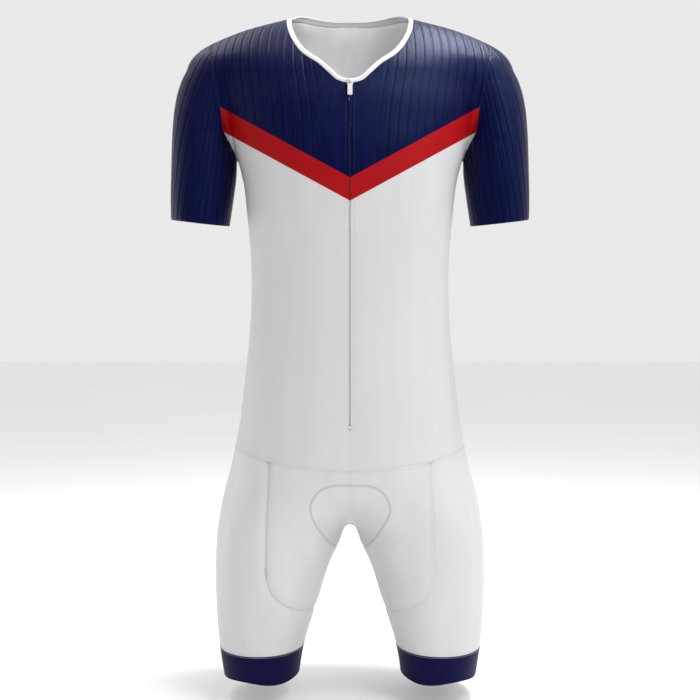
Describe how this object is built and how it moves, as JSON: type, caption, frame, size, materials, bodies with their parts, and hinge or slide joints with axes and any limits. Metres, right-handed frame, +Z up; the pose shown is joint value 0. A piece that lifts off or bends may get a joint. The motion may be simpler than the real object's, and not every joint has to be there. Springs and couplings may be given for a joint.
{
  "type": "triathlon suit",
  "caption": "Short-sleeved one-piece triathlon suit with a front zip, V neck, seat pad and banded thigh-length legs, filled out as if worn.",
  "frame": {"origin": "on the mid-plane at mid-shoulder height, where the wearer's shoulders carry the suit", "axes": "+Z up, +X to the wearer's left, -Y to the front"},
  "size_m": [0.4886, 0.2431, 0.9173],
  "materials": {
    "printed_cloth": "stretch knit printed navy at the yoke, a red chevron, white below; satin ribs in the navy",
    "sleeve_cloth": "ribbed navy stretch knit with a satin sheen",
    "white_cloth": "smooth white stretch knit, soft sheen",
    "band_cloth": "navy elastic band knit, matt",
    "binding": "folded white elastic binding",
    "pad": "brushed knit over thin foam",
    "zip_tape": "woven white zip tape",
    "zip_plastic": "nylon coil teeth",
    "zip_enamel": "white enamelled die-cast metal"
  },
  "bodies": {
    "suit": {"front_left": "printed_cloth", "front_right": "printed_cloth", "sleeve_left": "sleeve_cloth", "sleeve_right": "sleeve_cloth", "shorts_front_left": "white_cloth", "shorts_front_right": "white_cloth", "shorts_back_left": "white_cloth", "shorts_back_right": "white_cloth", "thigh_left": "white_cloth", "thigh_right": "white_cloth", "leg_band_left": "band_cloth", "leg_band_right": "band_cloth", "zip_tape_left": "zip_tape", "zip_tape_right": "zip_tape", "back": "printed_cloth", "neck_binding": "binding", "seat_pad": "pad", "zip_teeth": "zip_plastic", "zip_slider": "zip_enamel", "zip_stop": "zip_enamel"},
    "pull_tab": {"zip_pull_tab": "zip_enamel"}
  },
  "joints": [
    {"name": "pull_tab_hinge", "type": "hinge", "parent": "suit", "child": "pull_tab", "pos_m": [0, -0.1018, -0.09818], "axis": [-1, 0, 0], "range_deg": [0, 150]}
  ]
}
